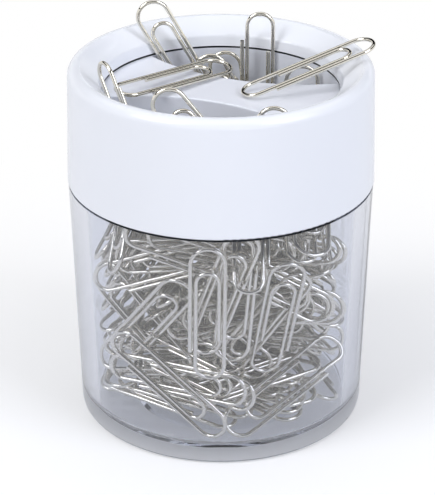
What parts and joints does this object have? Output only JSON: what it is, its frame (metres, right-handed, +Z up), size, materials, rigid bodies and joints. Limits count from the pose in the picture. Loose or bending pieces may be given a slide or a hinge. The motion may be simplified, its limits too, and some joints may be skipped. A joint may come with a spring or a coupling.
{
  "type": "magnetic paper clip holder",
  "caption": "Clear tumbler of loose wire paper clips under a white lift-off cap, whose bridged mouth has a magnet ring that holds a few clips up for picking.",
  "frame": {"origin": "on the surface that the cup stands on, under the middle of its base", "axes": "+Z up the cup's axis, -Y towards the side that the picture shows, +X to its right"},
  "size_m": [0.06, 0.06, 0.0785],
  "materials": {
    "clear_plastic": "clear polished",
    "white_plastic": "glossy white",
    "magnet": "flexible bonded magnet",
    "nickel_wire": "bright nickel plate"
  },
  "bodies": {
    "cup": {"clear_cup": "clear_plastic", "wall_clip_01": "nickel_wire", "wall_clip_02": "nickel_wire", "wall_clip_03": "nickel_wire", "wall_clip_04": "nickel_wire", "wall_clip_05": "nickel_wire", "wall_clip_06": "nickel_wire", "wall_clip_07": "nickel_wire", "wall_clip_08": "nickel_wire", "wall_clip_09": "nickel_wire", "wall_clip_10": "nickel_wire", "wall_clip_11": "nickel_wire", "wall_clip_12": "nickel_wire", "wall_clip_13": "nickel_wire", "wall_clip_14": "nickel_wire", "wall_clip_15": "nickel_wire", "wall_clip_16": "nickel_wire", "wall_clip_17": "nickel_wire", "clip_layer_1": "nickel_wire", "clip_layer_2": "nickel_wire", "clip_layer_3": "nickel_wire", "clip_layer_4": "nickel_wire", "clip_layer_5": "nickel_wire", "clip_layer_6": "nickel_wire", "clip_layer_7": "nickel_wire", "clip_layer_8": "nickel_wire"},
    "cap": {"cap_shell": "white_plastic", "bridge_insert": "white_plastic", "magnet_strip": "magnet"},
    "mouth_clip_back_left": {"mouth_clip_back_left": "nickel_wire"},
    "mouth_clip_on_bridge_left": {"mouth_clip_on_bridge_left": "nickel_wire"},
    "mouth_clip_front_far_left": {"mouth_clip_front_far_left": "nickel_wire"},
    "mouth_clip_front_left": {"mouth_clip_front_left": "nickel_wire"},
    "mouth_clip_front_right": {"mouth_clip_front_right": "nickel_wire"},
    "mouth_clip_back_centre_left": {"mouth_clip_back_centre_left": "nickel_wire"},
    "mouth_clip_back_centre": {"mouth_clip_back_centre": "nickel_wire"},
    "mouth_clip_back_right": {"mouth_clip_back_right": "nickel_wire"},
    "mouth_clip_back_far_right": {"mouth_clip_back_far_right": "nickel_wire"},
    "mouth_clip_on_bridge_right": {"mouth_clip_on_bridge_right": "nickel_wire"}
  },
  "joints": [
    {"name": "cap_lift", "type": "slide", "parent": "cup", "child": "cap", "axis": [0, 0, 1], "range_m": [0, 0.03]},
    {"name": "mouth_clip_back_left_lift", "type": "slide", "parent": "cap", "child": "mouth_clip_back_left", "axis": [0, 0, 1], "range_m": [0, 0.036]},
    {"name": "mouth_clip_on_bridge_left_lift", "type": "slide", "parent": "cap", "child": "mouth_clip_on_bridge_left", "axis": [0, 0, 1], "range_m": [0, 0.036]},
    {"name": "mouth_clip_front_far_left_lift", "type": "slide", "parent": "cap", "child": "mouth_clip_front_far_left", "axis": [0, 0, 1], "range_m": [0, 0.036]},
    {"name": "mouth_clip_front_left_lift", "type": "slide", "parent": "cap", "child": "mouth_clip_front_left", "axis": [0, 0, 1], "range_m": [0, 0.036]},
    {"name": "mouth_clip_front_right_lift", "type": "slide", "parent": "cap", "child": "mouth_clip_front_right", "axis": [0, 0, 1], "range_m": [0, 0.036]},
    {"name": "mouth_clip_back_centre_left_lift", "type": "slide", "parent": "cap", "child": "mouth_clip_back_centre_left", "axis": [0, 0, 1], "range_m": [0, 0.036]},
    {"name": "mouth_clip_back_centre_lift", "type": "slide", "parent": "cap", "child": "mouth_clip_back_centre", "axis": [0, 0, 1], "range_m": [0, 0.036]},
    {"name": "mouth_clip_back_right_lift", "type": "slide", "parent": "cap", "child": "mouth_clip_back_right", "axis": [0, 0, 1], "range_m": [0, 0.036]},
    {"name": "mouth_clip_back_far_right_lift", "type": "slide", "parent": "cap", "child": "mouth_clip_back_far_right", "axis": [0, 0, 1], "range_m": [0, 0.036]},
    {"name": "mouth_clip_on_bridge_right_lift", "type": "slide", "parent": "cap", "child": "mouth_clip_on_bridge_right", "axis": [0, 0, 1], "range_m": [0, 0.036]}
  ]
}
